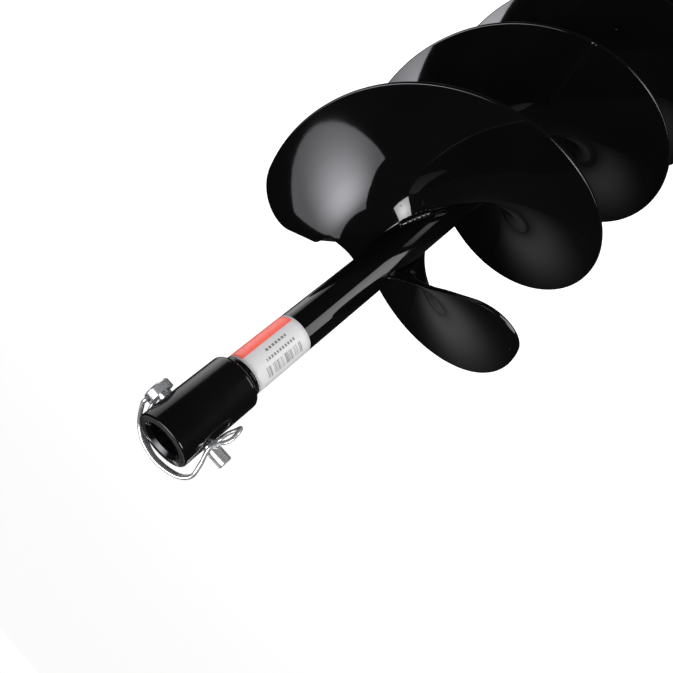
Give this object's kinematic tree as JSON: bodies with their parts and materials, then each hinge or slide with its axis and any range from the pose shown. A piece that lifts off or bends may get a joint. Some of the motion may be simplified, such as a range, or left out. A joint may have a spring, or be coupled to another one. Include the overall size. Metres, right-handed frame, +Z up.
{
  "type": "ice auger bit",
  "caption": "Black steel ice auger bit with a drive socket, cross lock pin with a spring-wire bail, two helical flights and a bladed cutting head.",
  "frame": {"origin": "centre of the drive socket's mouth", "axes": "+Z up out of the socket's mouth along the auger's axis, so the bit hangs at negative Z; +X along the lock pin's axis toward its tip"},
  "size_m": [0.2, 0.2, 0.8162],
  "materials": {
    "black_enamel": "gloss",
    "label_paper": "satin",
    "zinc": "gloss",
    "spring_wire": "gloss",
    "blade_steel": "satin",
    "black_oxide": "satin"
  },
  "bodies": {
    "auger": {"drive_hub": "black_enamel", "hub_weld": "black_enamel", "shaft_tube": "black_enamel", "size_label": "label_paper", "flight_a_1": "black_enamel", "flight_a_2": "black_enamel", "flight_a_3": "black_enamel", "flight_b_1": "black_enamel", "flight_b_2": "black_enamel", "flight_b_3": "black_enamel", "flight_a_welds": "black_enamel", "flight_b_welds": "black_enamel", "cutter_boss": "black_enamel", "boss_weld": "black_enamel", "blade_carrier_a": "black_enamel", "blade_carrier_b": "black_enamel", "carrier_welds": "black_enamel", "ice_blade_a": "blade_steel", "ice_blade_b": "blade_steel", "blade_screws": "black_oxide", "blade_washers": "zinc", "blade_nuts": "zinc", "pilot_point": "black_enamel", "pilot_set_screw": "black_oxide"},
    "lock_pin": {"lock_pin": "zinc"},
    "lock_pin_bail": {"lock_pin_bail": "spring_wire"}
  },
  "joints": [
    {"name": "lock_pin_slide", "type": "slide", "parent": "auger", "child": "lock_pin", "axis": [-1, 0, 0], "range_m": [0, 0.05]},
    {"name": "bail_swing", "type": "hinge", "parent": "lock_pin", "child": "lock_pin_bail", "pos_m": [-0.0209, 0, -0.0168], "axis": [0, -0.2079, -0.9781], "range_deg": [0, 150], "deforming": ["lock_pin_bail"]}
  ],
  "couplings": [
    {"joint": "lock_pin_slide", "follows": "bail_swing", "m_per_rad": 0.019099}
  ]
}
